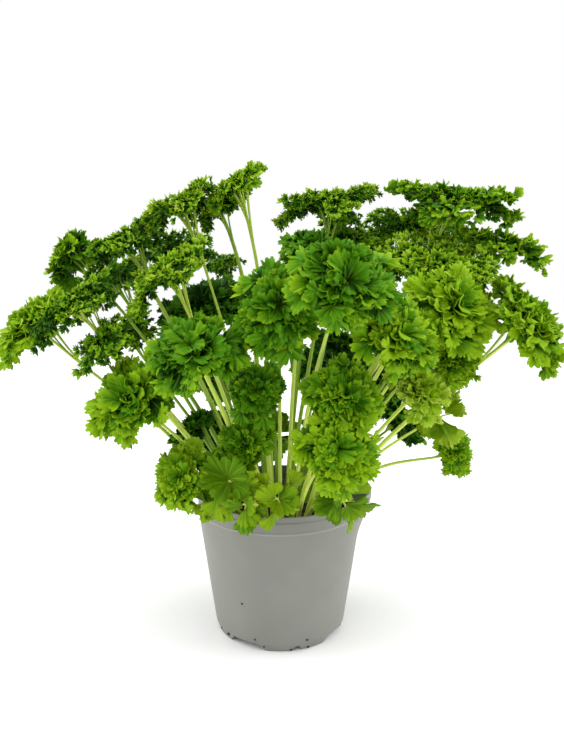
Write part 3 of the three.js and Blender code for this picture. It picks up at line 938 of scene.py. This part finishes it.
stalk = {
    # in mm
    "rootSpread": 40.0,
    "fanApex": 42.0,  # the height from which the stalks seem to fan out, deep in the soil
    "rootDepth": 8.0,
    "rootRadius": 1.75,
    "headRadius": 0.9,
    "girth": (0.75, 1.35),
    "lowHead": 200.0,
    "lowHeadRange": 75.0,
    "riseAtRoot": (0.9, 2.5),  # for high heads and for low ones
    "rootHandle": (0.35, 0.6),
    "headHandle": 0.3,
    "sides": 16,
    "steps": 48,
    "ribs": 5,
    "ribDepth": 0.07,
    "branch": {
        "radius": (0.8, 0.45),
        "forks": (0.9, 0.86, 0.8, 0.74),  # along the stalk: the first leaflet, then the pairs
        "forkStep": 0.04,
        "forkHandle": 1.5,
        "end": 0.5,  # along the rib
        "endSlope": 0.3,
        "endHandle": 0.25,
        "sides": 8,
        "steps": 12,
        "colour": (0.85, 1),  # as that of the stalk at these shares of its length
    },
    "rootColour": (0.74, 0.88, 0.17, 1),
    "headColour": (0.5, 0.66, 0.06, 1),
    # painted shade for the stalks at the back of the bunch
    "paintedShadeColour": (0.2, 0.36, 0.01, 1),
    "paintedShadeBehind": (-30.0, 60.0),  # between these depths of its head, a stalk turns darker with painted shade
    "byLength": 0.7,  # how much of the way from the root's colour to the head's
    "byStalk": 0.35,  # a stalk's length, its own tone and its streaks bring it
    "byStreak": 0.2,
    "rootKept": 0.15,
    "streakScale": 500.0,
    "roughness": 0.4,
    "roughnessSpread": 0.15,
    "specular": 0.35,
    "bump": 0.2,
    "bumpDepth": 0.3,
}


def stalkPoints(leaf, shares):  # the same curve as that of the frame's stalk
    wide = leaf["reach"] * (soil["top"] - stalk["fanApex"]) / (leaf["high"] - stalk["fanApex"])
    reach = wide / (1 + (wide / stalk["rootSpread"]) ** 4) ** 0.25  # never past the root spread
    root = onBearing(leaf["bearing"], reach, soil["top"] - stalk["rootDepth"])
    length = np.linalg.norm(leaf["head"] - root)
    chord = unit(leaf["head"] - root)
    low = float(np.clip((stalk["lowHead"] - leaf["high"]) / stalk["lowHeadRange"], 0, 1))
    leave = unit(chord + np.array([0, 0, mix(*stalk["riseAtRoot"], low)]))
    arrive = unit(chord + leaf["facing"])
    first = root + leave * length * mix(*stalk["rootHandle"], low)
    second = leaf["head"] - arrive * length * stalk["headHandle"]
    return bezier(root, first, second, leaf["head"], shares)


def branchPoints(leaf, rib, share):  # from the stalk to the middle of a leaflet
    form = stalk["branch"]
    start, ahead = stalkPoints(leaf, np.array([share, share + form["forkStep"]]))
    end = ribPoint(leaf, rib, form["end"])
    first = start + (ahead - start) * form["forkHandle"]
    tangent = ribAxes(leaf, rib, form["endSlope"])[0]
    second = end - tangent * rib["length"] * form["endHandle"]
    return bezier(start, first, second, end, np.linspace(0, 1, form["steps"]))


def tube(centres, radii, sides, ribs=0, ribDepth=0.0):  # rings along a line, closed at both ends
    tangents = np.gradient(centres, axis=0)
    tangents = tangents / np.linalg.norm(tangents, axis=1)[:, None]
    across = unit(np.cross(tangents[0], (0.3, 0.5, 0.8)))  # any way that no stalk starts in
    angle = np.linspace(0, 2 * math.pi, sides, endpoint=False)
    swell = 1 + ribDepth * np.cos(ribs * angle)
    rings = []
    for centre, tangent, radius in zip(centres, tangents, radii):
        across = unit(across - tangent * np.dot(across, tangent))
        beside = np.cross(tangent, across)
        ring = np.cos(angle)[:, None] * across + np.sin(angle)[:, None] * beside
        rings.append(centre + ring * (radius * swell)[:, None])
    last = (len(rings) - 1) * sides
    caps = [np.arange(sides)[::-1], np.arange(sides) + last]
    return np.array(rings), gridFaces(len(rings), sides, True), caps


def makeStalk(leaf):  # from the hole in the soil to the head, with a thin branch to each leaflet
    branches = stalk["branch"]
    shares = np.linspace(0, 1, stalk["steps"])
    girth = mix(*stalk["girth"], jitter(leaf["seed"], 9))
    radii = mix(stalk["rootRadius"], stalk["headRadius"], shares) * girth
    centres = stalkPoints(leaf, shares)
    parts = [tube(centres, radii, stalk["sides"], stalk["ribs"], stalk["ribDepth"])]
    along = [np.repeat(shares, stalk["sides"])]
    ribs = leafRibs(leaf)
    branchRadii = np.linspace(*branches["radius"], branches["steps"])
    branchAlong = np.linspace(*branches["colour"], branches["steps"])
    for leaflet, rib in enumerate(ribs):
        pair = min(leaflet, len(ribs) - leaflet)
        branch = branchPoints(leaf, rib, branches["forks"][pair])
        parts.append(tube(branch, branchRadii, branches["sides"]))
        along.append(np.repeat(branchAlong, branches["sides"]))
    points, quads, caps = joined(parts)
    stored = {
        "along": np.concatenate(along),
        "tone": np.full(len(points), jitter(leaf["seed"], 15)),
        # painted shade for the stalks whose heads stand at the back
        "paintedShadeBehind": np.full(len(points), ease(*stalk["paintedShadeBehind"], leaf["head"][1])),
    }
    return buildMesh(leaf["name"] + "_stalk", points * mm, quads, caps, stored)


def stalkFinish():
    finish = Shader(bpy.data.materials.new("parsleyStalk"))
    streak = finish.noise(stalk["streakScale"], 2.0)
    share = finish.stored("along") * stalk["byLength"] + finish.stored("tone") * stalk["byStalk"]
    share = share + streak * stalk["byStreak"] - stalk["rootKept"]
    front = finish.colours(share, stalk["rootColour"], stalk["headColour"])
    inputs = {
        # painted shade darkens the stalks at the back
        "Base Color": finish.colours(finish.stored("paintedShadeBehind"), front, stalk["paintedShadeColour"]),
        "Roughness": stalk["roughness"] + streak * stalk["roughnessSpread"],
        "Specular IOR Level": stalk["specular"],
        "Normal": finish.bump(streak, stalk["bump"], stalk["bumpDepth"] * mm),
    }
    return finish.show(finish.node("BsdfPrincipled", None, inputs))


curledFinish = bladeFinish("curledBlade", blade["curled"])
youngFinish = bladeFinish("youngBlade", blade["young"])
stemFinish = stalkFinish()
leaves = [readLeaf(index, row) for index, row in enumerate(leafPlan)]
for leaf in leaves:
    young = leaf["kind"]["young"]
    slot = "young_leaf" if young else "curled_leaf"
    settle(makeBlades(leaf), slot, youngFinish if young else curledFinish, leaf["name"])
    settle(makeStalk(leaf), slot, stemFinish, leaf["name"])
print("leaves:", len(leaves), "with their stalks")
